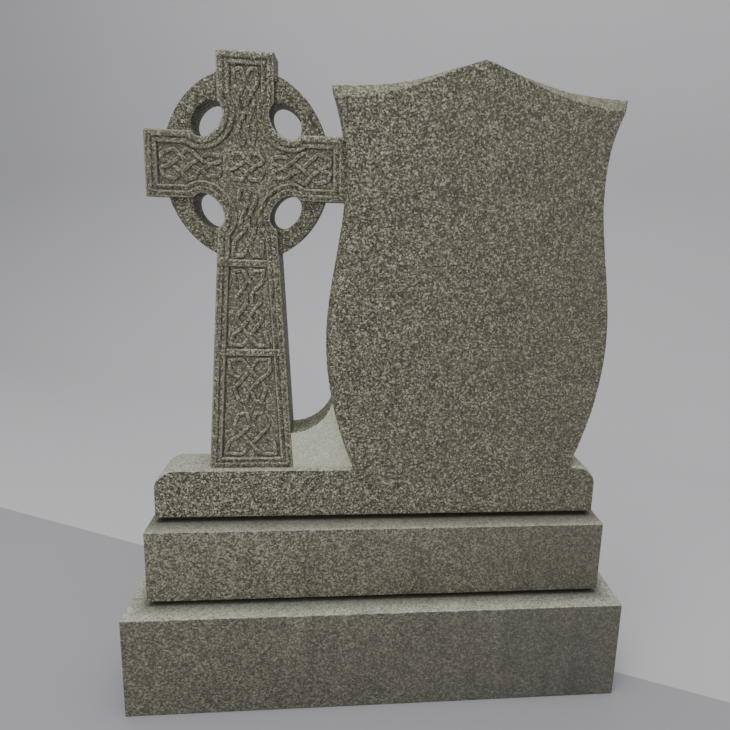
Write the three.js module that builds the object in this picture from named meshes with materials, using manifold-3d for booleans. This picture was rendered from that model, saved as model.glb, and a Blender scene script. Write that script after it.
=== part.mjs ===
// Granite headstone: a ringed Celtic cross and a shield-shaped tablet cut from one slab, on two bases.
// Millimetres, +Z up, the front faces -Y, the origin is on the ground under the middle of the lower base.
import * as THREE from 'three';
import { mergeVertices } from 'three/addons/utils/BufferGeometryUtils.js';
import Module from 'manifold-3d';

// Lower base
const lowerBaseWidth = 1220;
const lowerBaseDepth = 280;
const lowerBaseHeight = 260;

// Upper base, its height with the recessed joint under it
const upperBaseWidth = 1124;
const upperBaseDepth = 184;
const upperBaseHeight = 196;

// Recessed joint under the upper base and under the foot of the headstone
const jointHeight = 12;
const jointInset = 12;

// Sawn edges taken off by hand
const stoneArris = 3;
const carvedArris = 4;

// Foot band and thickness of the slab
const slabThickness = 100;
const footWidth = 1094;
const footHeight = 136;
const footCornerRadius = 52;

// Tablet: heights above the foot, half widths from its own centre line
const tabletX = 203;
const tabletFootHalfWidth = 277;
const bellyHeight = 323;
const bellyHalfWidth = 344;
const waistHeight = 693;
const waistHalfWidth = 303;
const earHeight = 888;
const earHalfWidth = 336;
const peakHeight = 953;
const hollowHalfWidth = 140;
const hollowRise = 2;
const browHalfWidth = 100;
const browDrop = 19;
const tabletChamferDepth = 15;
const sideChamfer = 8;
const earChamfer = 30;
const earChamferTurn = 8;

// Cross: heights above the foot, half widths from its own centre line
const crossSetback = 8;
const crossCentreHeight = 708;
const armReach = 217;
const headReach = 238;
const armHalfHeight = 71.5;
const headHalfWidth = 61;
const shaftNeckHalfWidth = 66;
const shaftFootHalfWidth = 99;

// Holes between the cross and its ring: leaning ovals centred beside the head or shaft and beyond the arm
const holeBesideHead = 23.5;
const holeBeyondArm = 26.5;
const holeHalfWidth = 28.5;
const holeHalfLength = 42;
const holeLean = 37 * Math.PI / 180;

// Ring behind the arms, a slightly upright oval
const ringSetback = 22;
const ringHalfWidth = 182;
const ringHalfHeight = 209;

// Web between the shaft and the tablet
const webSetback = 14;
const webLowHeight = 90;
const webHighHeight = 193;

// Carving on the cross: an incised line, a plain band, then a sunk field with woven strands
const lineInset = 15;
const lineWidth = 4;
const lineDepth = 3;
const fieldInset = 28;
const fieldDepth = 6;
const fieldSlope = 3;
const strandWidth = 9.6;
const strandTopWidth = 6;
const strandOverDepth = 0.8;
const strandUnderDepth = 3.2;
const strandGap = 2.5;
const rootDepth = 1;
const strandBend = 0.5;
const strandLap = 0.06;
const breakOffset = 0.4;
const cornerReach = 0.85;
const barHeight = 18;
const upperBarDrop = 212;
const lowerBarDrop = 420;
const knotClearance = 8;
const footKnotGap = 30;
const bossHalfWidth = 42;
const bossHalfHeight = 33;

// Share of the sunk field's width that a knot takes up at its start, its middle and its end
const armSwell = [0.62, 1, 0.58];
const bossSwell = [0.72, 1, 0.72];
const headSwell = [0.95, 0.9, 0.6];
const shaftSwell = [1, 0.64, 1];
const footSwell = [1, 0.8, 0.5];

// Granite: colours and roughness
const headstoneColor = 0x66645a;
const headstoneRoughness = 0.7;
const upperBaseColor = 0x626056;
const lowerBaseColor = 0x5a594f;
const baseRoughness = 0.65;

// Fineness of curves
const sideSteps = 8;
const ringSteps = 64;
const holeSteps = 12;
const bendSteps = 3;
const tangentReach = 0.01;

// Overlap that joins one stretch of the slab to the next
const joinOverlap = 20;

const upperBaseBottom = lowerBaseHeight;
const footBottom = upperBaseBottom + upperBaseHeight;
const footTop = footBottom + footHeight;
const slabFront = -slabThickness / 2;
const slabBack = slabThickness / 2;
const crossFront = slabFront + crossSetback;
const crossX = tabletX - waistHalfWidth - armReach;
const crossZ = footTop + crossCentreHeight;
const holeOut = headHalfWidth + holeBesideHead;
const holeUp = armHalfHeight + holeBeyondArm;

const wasm = await Module();
wasm.setup();

function solidFrom(geometry) {
  const { attributes, index } = mergeVertices(geometry);
  const vertProperties = attributes.position.array;
  const triVerts = new Uint32Array(index.array);
  return new wasm.Manifold(new wasm.Mesh({ numProp: 3, vertProperties, triVerts }));
}

function geometryFrom(solid) {
  const { vertProperties, triVerts } = solid.getMesh();
  const geometry = new THREE.BufferGeometry();
  geometry.setAttribute('position', new THREE.BufferAttribute(vertProperties, 3));
  geometry.setIndex(new THREE.BufferAttribute(triVerts, 1));
  return geometry;
}

// Closed skin over rings of equal point count, with a cap on the first ring and on the last
function skin(rings, firstCap, lastCap) {
  const count = rings[0].length;
  const faces = [];
  for (let ring = 0; ring + 1 < rings.length; ring += 1) {
    for (let point = 0; point < count; point += 1) {
      const here = ring * count + point;
      const next = ring * count + (point + 1) % count;
      faces.push(here, next, here + count, next, next + count, here + count);
    }
  }
  const last = (rings.length - 1) * count;
  firstCap.forEach(([a, b, c]) => faces.push(a, c, b));
  lastCap.forEach(([a, b, c]) => faces.push(last + a, last + b, last + c));
  const geometry = new THREE.BufferGeometry();
  geometry.setAttribute('position', new THREE.Float32BufferAttribute(rings.flat(2), 3));
  geometry.setIndex(faces);
  return geometry;
}

// Outlines in the X-Z plane, counterclockwise seen from the front, listed from the back to the front
function slab(levels) {
  const rings = levels.map(({ outline, y }) => outline.map((point) => [point.x, y, point.y]));
  const [first, last] = [levels[0], levels.at(-1)];
  const caps = [first, last].map(({ outline }) => THREE.ShapeUtils.triangulateShape(outline, []));
  return solidFrom(skin(rings, caps[0], caps[1]));
}

// Rectangle with its four corners cut off, in plan
function plan(width, depth, corner) {
  const [x, y] = [width / 2, depth / 2];
  return [
    [x - corner, -y], [x, -y + corner], [x, y - corner], [x - corner, y],
    [-x + corner, y], [-x, y - corner], [-x, -y + corner], [-x + corner, -y],
  ];
}

// A sawn block with its arrises eased, standing on a smaller bed when it has a recessed joint
function block(width, depth, bottom, height, recess) {
  const outer = plan(width, depth, stoneArris);
  const eased = plan(width - 2 * stoneArris, depth - 2 * stoneArris, stoneArris);
  const bed = plan(width - 2 * recess.inset, depth - 2 * recess.inset, stoneArris);
  const top = bottom + height;
  const levels = recess.height > 0
    ? [[bed, bottom], [bed, bottom + recess.height], [outer, bottom + recess.height]]
    : [[eased, bottom], [outer, bottom + stoneArris]];
  levels.push([outer, top - stoneArris], [eased, top]);
  const rings = levels.map(([outline, z]) => outline.map(([x, y]) => [x, y, z]));
  const cap = THREE.ShapeUtils.triangulateShape(outer.map(([x, y]) => new THREE.Vector2(x, y)), []);
  return skin(rings, cap, cap);
}

function arc(x, z, radiusX, radiusZ, start, end, steps) {
  return Array.from({ length: steps + 1 }, (_, step) => {
    const angle = start + (end - start) * step / steps;
    return new THREE.Vector2(x + radiusX * Math.cos(angle), z + radiusZ * Math.sin(angle));
  });
}

// Foot band with its upper corners rounded, on the recessed bed of the joint
function footSolid() {
  const outline = (inset) => {
    const [x, top, radius] = [footWidth / 2 - inset, footTop - inset, footCornerRadius - inset];
    const bottom = footBottom + jointHeight;
    return [
      new THREE.Vector2(-x, bottom),
      new THREE.Vector2(x, bottom),
      ...arc(x - radius, top - radius, radius, radius, 0, Math.PI / 2, sideSteps),
      ...arc(radius - x, top - radius, radius, radius, Math.PI / 2, Math.PI, sideSteps),
    ];
  };
  const band = slab([
    { outline: outline(stoneArris), y: slabBack },
    { outline: outline(0), y: slabBack - stoneArris },
    { outline: outline(0), y: slabFront + stoneArris },
    { outline: outline(stoneArris), y: slabFront },
  ]);
  const bedHeight = jointHeight + joinOverlap;
  const bed = new THREE.BoxGeometry(footWidth - 2 * jointInset, slabThickness - 2 * jointInset, bedHeight);
  bed.deleteAttribute('normal');
  bed.deleteAttribute('uv');
  bed.translate(0, 0, footBottom + bedHeight / 2);
  return band.add(solidFrom(bed));
}

// Half width of the tablet at a height above the foot: a swelling, a waist, then a flare to the ears
function tabletHalfWidth(height) {
  if (height < bellyHeight) {
    const share = (bellyHeight - height) / bellyHeight;
    return bellyHalfWidth - (bellyHalfWidth - tabletFootHalfWidth) * share ** 2;
  }
  if (height < waistHeight) {
    const share = (height - bellyHeight) / (waistHeight - bellyHeight);
    return bellyHalfWidth + (waistHalfWidth - bellyHalfWidth) * share ** 2 * (3 - 2 * share);
  }
  const share = (height - waistHeight) / (earHeight - waistHeight);
  return waistHalfWidth + (earHalfWidth - waistHalfWidth) * share ** 2;
}

// Right half of the tablet's outline from the foot to the peak. The chamfer moves each point inward and down:
// evenly on the sides, with a drop that grows towards the ears and fades again towards the peak.
function tabletHalfOutline() {
  const heights = [[0, bellyHeight], [bellyHeight, waistHeight], [waistHeight, earHeight]];
  const side = heights.flatMap(([from, to]) => Array.from({ length: sideSteps }, (_, step) => {
    const height = from + (to - from) * step / sideSteps;
    const drop = earChamfer * (height / earHeight) ** earChamferTurn;
    return { x: tabletHalfWidth(height), height, inward: sideChamfer, drop };
  }));
  const top = new THREE.CubicBezierCurve(
    new THREE.Vector2(earHalfWidth, earHeight),
    new THREE.Vector2(hollowHalfWidth, earHeight + hollowRise),
    new THREE.Vector2(browHalfWidth, peakHeight - browDrop),
    new THREE.Vector2(0, peakHeight),
  ).getPoints(2 * sideSteps).map(({ x, y }) => {
    const share = x / earHalfWidth;
    return { x, height: y, inward: sideChamfer * share, drop: earChamfer * share };
  });
  return [...side, ...top];
}

// Whole outline of the tablet, or the edge of its face inside the chamfer
function tabletOutline(isFace) {
  const half = tabletHalfOutline().map(({ x, height, inward, drop }) => (
    isFace ? new THREE.Vector2(x - inward, height - drop) : new THREE.Vector2(x, height)
  ));
  const right = half.map(({ x, y }) => new THREE.Vector2(tabletX + x, footTop + y));
  const left = half.slice(0, -1).reverse().map(({ x, y }) => new THREE.Vector2(tabletX - x, footTop + y));
  const sink = footTop - joinOverlap;
  return [new THREE.Vector2(left.at(-1).x, sink), new THREE.Vector2(right[0].x, sink), ...right, ...left];
}

function tabletSolid() {
  return slab([
    { outline: tabletOutline(false), y: slabBack },
    { outline: tabletOutline(false), y: slabFront + tabletChamferDepth },
    { outline: tabletOutline(true), y: slabFront },
  ]);
}

// Half width of the shaft, which tapers from the foot to its neck under the lower holes
function shaftHalfWidth(height) {
  const neckHeight = crossCentreHeight - holeUp - holeHalfLength;
  return shaftFootHalfWidth + (shaftNeckHalfWidth - shaftFootHalfWidth) * height / neckHeight;
}

// Stretch of a hole's edge between two angles round its oval
function holeEdge(side, rise, inset, start, end) {
  const [cos, sin] = [Math.cos(holeLean), Math.sin(holeLean)];
  return arc(0, 0, holeHalfWidth + inset, holeHalfLength + inset, start, end, holeSteps).map(({ x, y }) => {
    const [out, up] = [holeOut + x * cos - y * sin, holeUp + x * sin + y * cos];
    return new THREE.Vector2(crossX + side * out, crossZ + rise * up);
  });
}

// Angles at which a hole's edge meets the edge of the upright and the edge of the arm, next to the ring
function holeMeets(rise, inset) {
  const [short, long] = [holeHalfWidth + inset, holeHalfLength + inset];
  const [cos, sin] = [Math.cos(holeLean), Math.sin(holeLean)];
  const uprightHalf = (rise > 0 ? headHalfWidth : shaftNeckHalfWidth) - inset;
  const armHalf = armHalfHeight - inset;
  const pastUpright = Math.acos((holeOut - uprightHalf) / Math.hypot(short * cos, long * sin));
  const pastArm = Math.acos((holeUp - armHalf) / Math.hypot(short * sin, long * cos));
  return {
    upright: Math.PI - Math.atan2(long * sin, short * cos) - pastUpright,
    arm: Math.PI + Math.atan2(long * cos, short * sin) + pastArm,
  };
}

// One rounded armpit, from the edge of the upright to the edge of the arm
function armpit(side, rise, inset) {
  const meets = holeMeets(rise, inset);
  return holeEdge(side, rise, inset, meets.upright, meets.arm);
}

// Outline of the cross moved in by an inset; the right arm can run on into the tablet
function crossOutline(inset, bottom, rightReach = armReach - inset) {
  const foot = shaftHalfWidth(bottom - footTop) - inset;
  const head = headHalfWidth - inset;
  const top = crossZ + headReach - inset;
  const reach = armReach - inset;
  const arm = armHalfHeight - inset;
  return [
    new THREE.Vector2(crossX - foot, bottom),
    new THREE.Vector2(crossX + foot, bottom),
    ...armpit(1, -1, inset),
    new THREE.Vector2(crossX + rightReach, crossZ - arm),
    new THREE.Vector2(crossX + rightReach, crossZ + arm),
    ...armpit(1, 1, inset).reverse(),
    new THREE.Vector2(crossX + head, top),
    new THREE.Vector2(crossX - head, top),
    ...armpit(-1, 1, inset),
    new THREE.Vector2(crossX - reach, crossZ + arm),
    new THREE.Vector2(crossX - reach, crossZ - arm),
    ...armpit(-1, -1, inset).reverse(),
  ];
}

function crossSolid() {
  const sink = footTop - joinOverlap;
  const reach = armReach + joinOverlap;
  return slab([
    { outline: crossOutline(carvedArris, sink, reach), y: slabBack },
    { outline: crossOutline(0, sink, reach), y: slabBack - carvedArris },
    { outline: crossOutline(0, sink, reach), y: crossFront + carvedArris },
    { outline: crossOutline(carvedArris, sink, reach), y: crossFront },
  ]);
}

// Cut for one hole of the ring: its outer edge, closed inside the cross
function ringHole(side, rise) {
  const meets = holeMeets(rise, 0);
  const outline = [
    ...armpit(side, rise, joinOverlap),
    ...holeEdge(side, rise, 0, meets.arm, meets.upright + 2 * Math.PI),
  ];
  const turned = side === rise ? outline : outline.reverse();
  return slab([
    { outline: turned, y: slabBack + joinOverlap },
    { outline: turned, y: slabFront - joinOverlap },
  ]);
}

function ringSolid() {
  const outline = (inset) => (
    arc(crossX, crossZ, ringHalfWidth - inset, ringHalfHeight - inset, 0, 2 * Math.PI, ringSteps).slice(0, -1)
  );
  const front = slabFront + ringSetback;
  const disc = slab([
    { outline: outline(carvedArris), y: slabBack },
    { outline: outline(0), y: slabBack - carvedArris },
    { outline: outline(0), y: front + carvedArris },
    { outline: outline(carvedArris), y: front },
  ]);
  const corners = [[1, 1], [-1, 1], [-1, -1], [1, -1]];
  return corners.reduce((ring, [side, rise]) => ring.subtract(ringHole(side, rise)), disc);
}

// Low web whose upper edge sweeps from the shaft up to the tablet in a quarter oval
function webSolid() {
  const shaftEdge = crossX + shaftHalfWidth(webLowHeight) - carvedArris;
  const tabletEdge = tabletX - tabletHalfWidth(webHighHeight) + sideChamfer;
  const [low, high] = [footTop + webLowHeight, footTop + webHighHeight];
  const outline = [
    new THREE.Vector2(shaftEdge - joinOverlap, footTop - joinOverlap),
    new THREE.Vector2(tabletX - tabletFootHalfWidth + joinOverlap, footTop - joinOverlap),
    new THREE.Vector2(tabletEdge + joinOverlap, high),
    ...arc(shaftEdge, high, tabletEdge - shaftEdge, high - low, 0, -Math.PI / 2, holeSteps),
    new THREE.Vector2(shaftEdge - joinOverlap, low),
  ];
  return slab([{ outline, y: slabBack }, { outline, y: slabFront + webSetback }]);
}

// Incised line that follows the outline of the cross
function incisedLine() {
  const [outer, inner] = [lineInset, lineInset + lineWidth];
  const middle = (outer + inner) / 2;
  const [above, deep] = [crossFront - lineDepth, crossFront + lineDepth];
  const wedge = (surfaceInset, deepInset, depth) => slab([
    { outline: crossOutline(deepInset, footTop + deepInset), y: depth },
    { outline: crossOutline(surfaceInset, footTop + surfaceInset), y: above },
  ]);
  const ground = wedge(outer - (middle - outer), middle, deep);
  return ground.subtract(wedge(inner + (inner - middle), middle, deep + lineDepth));
}

// Sunk ground of the carving with sloping sides
function sunkField() {
  const outline = (inset) => crossOutline(inset, footTop + inset);
  return slab([
    { outline: outline(fieldInset + fieldSlope), y: crossFront + fieldDepth },
    { outline: outline(fieldInset - fieldSlope), y: crossFront - fieldDepth },
  ]);
}

// Half width of the sunk ground across the arms or the upright, at a distance from the centre. Beside a
// hole it ends at the nearer side of the hole's oval grown by the inset.
function fieldHalfWidth(distance, openHalfWidth, holeAlong, holeAcross, lean) {
  const [short, long] = [holeHalfWidth + fieldInset, holeHalfLength + fieldInset];
  const [cos, sin] = [Math.cos(lean), Math.sin(lean)];
  const square = (cos / short) ** 2 + (sin / long) ** 2;
  const mixed = cos * sin * (1 / short ** 2 - 1 / long ** 2);
  const past = distance - holeAlong;
  const root = square - (past / (short * long)) ** 2;
  const beside = root > 0 ? holeAcross - (mixed * past + Math.sqrt(root)) / square : Infinity;
  return Math.min(openHalfWidth - fieldInset, beside);
}

const strandClearance = strandWidth / 2 + strandGap;

// Maps a knot's grid, across -1 to 1 and along 0 to 1, onto a stretch of the cross
function armPlace(side) {
  const from = armReach - fieldInset - strandClearance;
  const to = bossHalfWidth + knotClearance + strandClearance;
  return (across, along) => {
    const distance = from + (to - from) * along;
    const field = fieldHalfWidth(distance, armHalfHeight, holeOut, holeUp, Math.PI / 2 - holeLean);
    return new THREE.Vector2(crossX + side * distance, crossZ + across * (field - strandClearance));
  };
}

function uprightPlace(fromHeight, toHeight) {
  return (across, along) => {
    const height = fromHeight + (toHeight - fromHeight) * along;
    const fromCentre = height - crossCentreHeight;
    const open = fromCentre > 0 ? headHalfWidth : shaftHalfWidth(height);
    const field = fieldHalfWidth(Math.abs(fromCentre), open, holeUp, holeOut, holeLean);
    return new THREE.Vector2(crossX + across * (field - strandClearance), footTop + height);
  };
}

function bossPlace(across, along) {
  const [halfWidth, halfHeight] = [bossHalfWidth - strandWidth / 2, bossHalfHeight - strandWidth / 2];
  return new THREE.Vector2(crossX + across * halfWidth, crossZ + halfHeight * (1 - 2 * along));
}

// Share of the field's width at a place along a knot, on the parabola through its three widths
function swell([start, middle, end], along) {
  const ends = start * (1 - along) * (1 - 2 * along) + end * along * (2 * along - 1);
  return ends + 4 * middle * along * (1 - along);
}

// Width of a knot's grid in steps
const knotWidth = 4;

// Knots two cells wide; breaks lists crossings on the centre line where the strands turn back instead,
// 'along' where they run side by side along the knot and 'across' where they turn back on themselves
function knots() {
  const upperBar = crossCentreHeight - upperBarDrop;
  const lowerBar = crossCentreHeight - lowerBarDrop;
  const reach = barHeight / 2 + strandClearance;
  const bossEdge = bossHalfHeight + knotClearance + strandClearance;
  const top = crossCentreHeight + headReach - fieldInset - strandClearance;
  const bottom = fieldInset + strandClearance;
  const [aboveGap, belowGap] = [1, -1].map((side) => (lowerBar - reach + bottom + side * footKnotGap) / 2);
  const [above, below] = [crossCentreHeight + bossEdge, crossCentreHeight - bossEdge];
  return [
    { rows: 3, place: armPlace(-1), widths: armSwell, breaks: {} },
    { rows: 3, place: armPlace(1), widths: armSwell, breaks: {} },
    { rows: 2, place: bossPlace, widths: bossSwell, breaks: {} },
    { rows: 3, place: uprightPlace(top, above), widths: headSwell, breaks: {} },
    { rows: 3, place: uprightPlace(below, upperBar + reach), widths: headSwell.toReversed(), breaks: {} },
    {
      rows: 4,
      place: uprightPlace(upperBar - reach, lowerBar + reach),
      widths: shaftSwell,
      breaks: { 3: 'along' },
    },
    { rows: 2, place: uprightPlace(lowerBar - reach, aboveGap), widths: footSwell, breaks: {} },
    { rows: 2, place: uprightPlace(belowGap, bottom), widths: footSwell.toReversed(), breaks: {} },
  ];
}

// The strands lie on a diagonal grid of sites, two steps to a cell. At a site they cross, or turn back at
// the knot's rim or at a break. Gives where the strand is, its heading there, its depth and how it leaves.
function siteOf(knot, i, j, di, dj) {
  const broken = i === knotWidth / 2 && knot.breaks[j];
  const turnAlong = i === 0 || i === knotWidth || broken === 'along';
  const turnAcross = j === 0 || j === 2 * knot.rows || broken === 'across';
  const crossing = !turnAlong && !turnAcross;
  const under = crossing && di * dj > 0 !== (i % 2 === 0);
  const crossingDepth = under ? strandUnderDepth : strandOverDepth;
  return {
    point: new THREE.Vector2(
      broken === 'along' ? i - di * breakOffset : i,
      broken === 'across' ? j - dj * breakOffset : j,
    ),
    heading: new THREE.Vector2(turnAlong ? 0 : di, turnAcross ? 0 : dj),
    depth: crossing ? crossingDepth : (strandOverDepth + strandUnderDepth) / 2,
    leaves: [turnAlong ? -di : di, turnAcross ? -dj : dj],
    rim: broken ? false : !crossing,
    crossing,
    under,
  };
}

// The sites of one strand from where it dips under another to where it next does
function traceRun(knot, i, j, di, dj) {
  const sites = [siteOf(knot, i, j, di, dj)];
  let place = [i, j];
  while (sites.length === 1 || !sites.at(-1).under) {
    const [stepI, stepJ] = sites.at(-1).leaves;
    place = [place[0] + stepI, place[1] + stepJ];
    sites.push(siteOf(knot, ...place, stepI, stepJ));
  }
  return { sites, back: [...place, ...sites.at(-1).leaves.map((step) => -step)].join() };
}

// Points on the grid along a run: smooth bends, and a pointed corner where two turns at the rim meet
function runStations(sites) {
  const stations = sites.slice(1).flatMap((next, index) => {
    const here = sites[index];
    if (here.rim && next.rim) {
      const bend = here.heading.clone().multiplyScalar(cornerReach);
      const heading = here.heading.clone().add(next.heading);
      const depth = (here.depth + next.depth) / 2;
      const point = here.point.clone().add(bend);
      return [{ ...here, spread: 1 }, { point, heading, depth, spread: Math.SQRT2 }];
    }
    const steps = here.crossing && next.crossing ? 1 : bendSteps;
    const leave = here.point.clone().addScaledVector(here.heading, strandBend);
    const arrive = next.point.clone().addScaledVector(next.heading, -strandBend);
    const curve = new THREE.CubicBezierCurve(here.point, leave, arrive, next.point);
    return Array.from({ length: steps }, (_, step) => ({
      point: curve.getPoint(step / steps),
      heading: step === 0 ? here.heading : curve.getTangent(step / steps),
      depth: here.depth + (next.depth - here.depth) * step / steps,
      spread: 1,
    }));
  });
  stations.push({ ...sites.at(-1), spread: 1 });
  stations[0].point = stations[0].point.clone().addScaledVector(stations[0].heading, -strandLap);
  stations.at(-1).point = stations.at(-1).point.clone().addScaledVector(stations.at(-1).heading, strandLap);
  return stations;
}

// A run of strand as a bar with sloping sides
function strandSolid(knot, sites) {
  const onSlab = ({ x, y }) => {
    const along = y / (2 * knot.rows);
    return knot.place((2 * x / knotWidth - 1) * swell(knot.widths, along), along);
  };
  const root = crossFront + fieldDepth + rootDepth;
  const rings = runStations(sites).map(({ point, heading, depth, spread }) => {
    const ahead = onSlab(point.clone().addScaledVector(heading, tangentReach));
    const along = ahead.sub(onSlab(point.clone().addScaledVector(heading, -tangentReach))).normalize();
    const centre = onSlab(point);
    const [wide, narrow, top] = [spread * strandWidth / 2, spread * strandTopWidth / 2, crossFront + depth];
    const corners = [[-wide, root], [wide, root], [narrow, top], [-narrow, top]];
    return corners.map(([offset, y]) => [centre.x - along.y * offset, y, centre.y + along.x * offset]);
  });
  const cap = [[0, 1, 2], [0, 2, 3]];
  return solidFrom(skin(rings, cap, cap));
}

// All runs of a knot, each started at a crossing from where its strand lies under the other
function knotSolids(knot) {
  const done = new Set();
  const solids = [];
  for (let j = 1; j < 2 * knot.rows; j += 1) {
    for (let i = 1 + j % 2; i < knotWidth; i += 2) {
      for (const [di, dj] of [[1, 1], [-1, 1], [1, -1], [-1, -1]]) {
        if (siteOf(knot, i, j, di, dj).under && !done.has([i, j, di, dj].join())) {
          const run = traceRun(knot, i, j, di, dj);
          done.add(run.back);
          solids.push(strandSolid(knot, run.sites));
        }
      }
    }
  }
  return solids;
}

// Raised bar across the shaft between two panels
function barSolid(drop) {
  const height = crossCentreHeight - drop;
  const outline = (ease) => {
    const half = shaftHalfWidth(height) - fieldInset + fieldSlope;
    const [low, high] = [-1, 1].map((side) => footTop + height + side * (barHeight / 2 - ease));
    return [[-half, low], [half, low], [half, high], [-half, high]].map(([x, z]) => (
      new THREE.Vector2(crossX + x, z)
    ));
  };
  return slab([
    { outline: outline(0), y: crossFront + fieldDepth + rootDepth },
    { outline: outline(fieldSlope), y: crossFront + strandOverDepth },
  ]);
}

function headstoneSolid() {
  const stone = footSolid().add(tabletSolid()).add(ringSolid()).add(crossSolid()).add(webSolid());
  const carved = stone.subtract(incisedLine()).subtract(sunkField());
  const relief = [...knots().flatMap(knotSolids), barSolid(upperBarDrop), barSolid(lowerBarDrop)];
  return relief.reduce((whole, piece) => whole.add(piece), carved);
}

function granite(color, roughness) {
  return new THREE.MeshStandardMaterial({ color, roughness, metalness: 0, flatShading: true });
}

const headstone = new THREE.Mesh(geometryFrom(headstoneSolid()), granite(headstoneColor, headstoneRoughness));
headstone.name = 'headstone';

const joint = { height: jointHeight, inset: jointInset };
const upperBase = new THREE.Mesh(
  block(upperBaseWidth, upperBaseDepth, upperBaseBottom, upperBaseHeight, joint),
  granite(upperBaseColor, baseRoughness),
);
upperBase.name = 'upper_base';

const lowerBase = new THREE.Mesh(
  block(lowerBaseWidth, lowerBaseDepth, 0, lowerBaseHeight, { height: 0, inset: 0 }),
  granite(lowerBaseColor, baseRoughness),
);
lowerBase.name = 'lower_base';

const memorial = new THREE.Group();
memorial.add(lowerBase, upperBase, headstone);
export default memorial;
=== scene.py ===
"""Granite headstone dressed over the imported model: a ringed Celtic cross and a shield-shaped tablet cut
from one slab, standing on two stepped bases. Lengths are in millimetres until a mesh is made, +Z is up and
the front looks towards -Y. The sections follow the stones from the ground up, then floor, light and camera.
"""

import bpy
import numpy as np
from mathutils import Matrix, Vector


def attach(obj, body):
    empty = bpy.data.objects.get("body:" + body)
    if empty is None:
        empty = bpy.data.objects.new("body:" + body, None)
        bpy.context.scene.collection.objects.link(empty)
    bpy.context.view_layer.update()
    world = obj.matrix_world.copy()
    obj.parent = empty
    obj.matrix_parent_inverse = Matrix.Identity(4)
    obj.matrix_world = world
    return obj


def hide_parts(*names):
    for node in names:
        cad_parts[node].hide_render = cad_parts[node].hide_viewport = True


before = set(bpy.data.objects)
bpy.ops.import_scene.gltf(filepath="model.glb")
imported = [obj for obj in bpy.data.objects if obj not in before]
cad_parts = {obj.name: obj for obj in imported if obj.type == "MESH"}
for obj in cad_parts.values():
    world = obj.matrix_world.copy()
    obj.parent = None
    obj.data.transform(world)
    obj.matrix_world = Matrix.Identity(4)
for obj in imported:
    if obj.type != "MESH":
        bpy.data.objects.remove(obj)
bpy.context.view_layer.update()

# Lower base.
# The real piece is a sawn block of grey granite with rubbed faces and arrises eased by hand, so that its
# long edges show small chips. It lies on the ground and carries everything else.
LOWER_BASE = {"width": 1220, "depth": 280, "bottom": 0, "top": 260}
BASE_ARRIS = 4
BASE_CHIP = 1.2
CHIP_SPACING = 9
ARRIS_STEPS = 4


def eased(radius):
    """Quarter circle as (set in from the side, set back from the face) pairs, from the side to the face."""
    angle = np.linspace(0, np.pi / 2, ARRIS_STEPS + 1)
    return np.stack([radius * (1 - np.cos(angle)), radius * (1 - np.sin(angle))], -1)


def rounded_plan(width, depth, corner):
    """Rectangle with rounded corners, walked anticlockwise seen from above at an even spacing, with the
    outward direction at each point: straight runs between quarter circles."""
    points, outward = [], []
    for quarter in range(4):
        sign = np.array([(1, -1), (1, 1), (-1, 1), (-1, -1)][quarter])
        centre = sign * (np.array([width, depth]) / 2 - corner)
        angle = np.linspace(-np.pi / 2, 0, ARRIS_STEPS + 1) + quarter * np.pi / 2
        spoke = np.stack([np.cos(angle), np.sin(angle)], -1)
        points.append(centre + corner * spoke)
        outward.append(spoke)
    runs, normals = [], []
    for quarter in range(4):
        start, end = points[quarter][-1], points[(quarter + 1) % 4][0]
        count = max(int(np.hypot(*(end - start)) / CHIP_SPACING), 2)
        share = np.linspace(0, 1, count + 1)[1:-1, None]
        runs += [points[quarter], start + (end - start) * share]
        normals += [outward[quarter], np.repeat(outward[quarter][-1:], count - 1, 0)]
    return np.concatenate(runs), np.concatenate(normals)


def chips(count, seed, amount):
    """Depth of the chips along an edge: random numbers, each with half of both neighbours added, that show
    from 1 on and reach the full amount at 3."""
    noise = np.random.default_rng(seed).normal(size=count)
    smooth = noise + (np.roll(noise, 1) + np.roll(noise, -1)) / 2
    return amount * np.clip(smooth - 1, 0, 2) / 2


def columns(*values):
    """Table with one column for each array or number, a number being repeated down its column."""
    return np.column_stack(np.broadcast_arrays(*values))


def skin(rings):
    """Vertices and faces of a closed skin: quads between neighbouring rings of one point count, and one
    many-sided cap on the first ring and on the last."""
    ring_count, size = len(rings), len(rings[0])
    index = np.arange(ring_count * size).reshape(ring_count, size)
    ahead = np.roll(index, -1, 1)
    quads = np.stack([index[:-1], ahead[:-1], ahead[1:], index[1:]], -1).reshape(-1, 4)
    faces = quads.tolist() + [index[0][::-1].tolist(), index[-1].tolist()]
    return np.concatenate(rings), faces


def signed_volume(vertices, faces):
    """Volume inside the faces, negative when they point inwards: the sum over a fan of each face."""
    total = 0.0
    for size in sorted({len(face) for face in faces}):
        fan = vertices[np.array([face for face in faces if len(face) == size])]
        for corner in range(1, size - 1):
            total += np.einsum("ij,ij->", fan[:, 0], np.cross(fan[:, corner], fan[:, corner + 1]))
    return total / 6


def mesh_piece(name, vertices, faces, materials, material_index=None, flat_faces=()):
    """Puts a mesh given in millimetres into the scene, smooth except for the flat faces listed."""
    mesh = bpy.data.meshes.new(name)
    mesh.from_pydata((vertices / 1000).tolist(), [], faces)
    for material in materials:
        mesh.materials.append(material)
    if material_index is not None:
        mesh.polygons.foreach_set("material_index", material_index)
    smooth = np.ones(len(faces), bool)
    smooth[list(flat_faces)] = False
    mesh.polygons.foreach_set("use_smooth", smooth)
    mesh.update()
    piece = bpy.data.objects.new(name, mesh)
    bpy.context.scene.collection.objects.link(piece)
    return piece


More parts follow.
